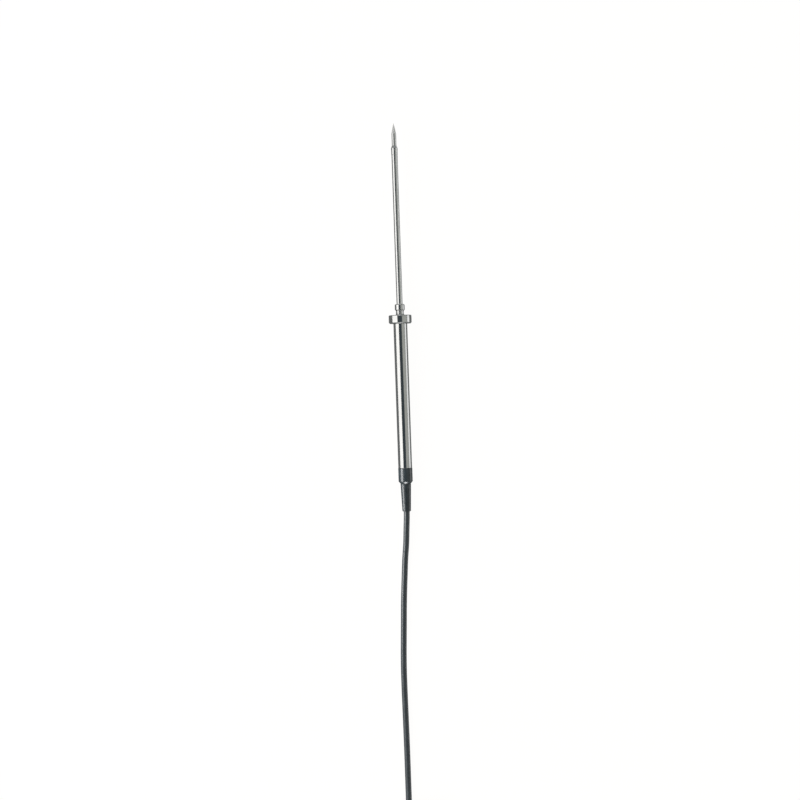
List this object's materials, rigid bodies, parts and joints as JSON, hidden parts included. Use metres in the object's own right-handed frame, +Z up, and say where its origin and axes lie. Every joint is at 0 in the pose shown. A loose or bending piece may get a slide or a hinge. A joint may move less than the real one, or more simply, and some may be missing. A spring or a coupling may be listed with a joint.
{
  "type": "cabled grain insertion probe",
  "caption": "Slim steel insertion lance with a stepped tip, round hand guard, tubular handle, black cap and strain relief, and a cable ending in a round screw plug.",
  "frame": {"origin": "on the surface the probe lies on, under the middle of the probe's own box, the free cable and plug left out", "axes": "+Y towards the sensor tip, +Z up, +X across; the probe's axis rises about 1.6 degrees towards the tip"},
  "size_m": [0.0369, 0.5698, 0.0153],
  "materials": {
    "polished_steel": "polished stainless steel",
    "satin_steel": "satin steel",
    "black_plastic": "semi-gloss moulded",
    "black_rubber": "smooth soft moulding",
    "cable_jacket": "matt extruded jacket",
    "strap_fabric": "hook and loop strap",
    "ceramic": "fired twin-bore insulator",
    "potting_resin": "cast resin",
    "tinned_wire": "tinned copper",
    "core_insulation": "extruded insulation",
    "nickel_plate": "satin nickel plate",
    "gold_contact": "gold flash",
    "plug_insert": "moulded insert",
    "glass_bead": "glass-coated sensing bead"
  },
  "bodies": {
    "root": {"tip_sleeve": "polished_steel", "sensor_bead": "glass_bead", "lead_insulator": "ceramic", "sensor_lead_1": "tinned_wire", "sensor_lead_2": "tinned_wire", "tip_ferrule": "polished_steel", "shaft_tube": "polished_steel", "shaft_bush": "polished_steel", "hand_guard": "polished_steel", "guard_seal": "black_rubber", "handle_tube": "polished_steel", "front_potting": "potting_resin", "splice_crimp_1": "tinned_wire", "splice_crimp_2": "tinned_wire", "splice_sleeve_1": "black_rubber", "splice_sleeve_2": "black_rubber", "cable_core_1": "core_insulation", "cable_core_2": "core_insulation", "cable_in_handle": "cable_jacket", "pull_stop": "satin_steel", "rear_cap": "black_plastic", "cap_seal": "black_rubber", "strain_relief": "black_rubber", "cable_run": "cable_jacket", "cable_hank": "cable_jacket", "cable_tie": "strap_fabric", "cable_tail": "cable_jacket", "plug_relief": "black_rubber", "clamp_nut": "nickel_plate", "plug_body": "nickel_plate", "retaining_ring": "satin_steel", "contact_insert": "plug_insert", "contact_pin_1": "gold_contact", "contact_pin_2": "gold_contact", "contact_pin_3": "gold_contact", "contact_pin_4": "gold_contact", "plug_core_1": "core_insulation", "plug_core_2": "core_insulation"},
    "screw_ring": {"coupling_nut": "nickel_plate"}
  },
  "joints": [
    {"name": "screw_ring_spin", "type": "hinge", "parent": "root", "child": "screw_ring", "pos_m": [0.0108, -0.3597, 0.00655], "axis": [0, 1, 0], "continuous": true}
  ]
}
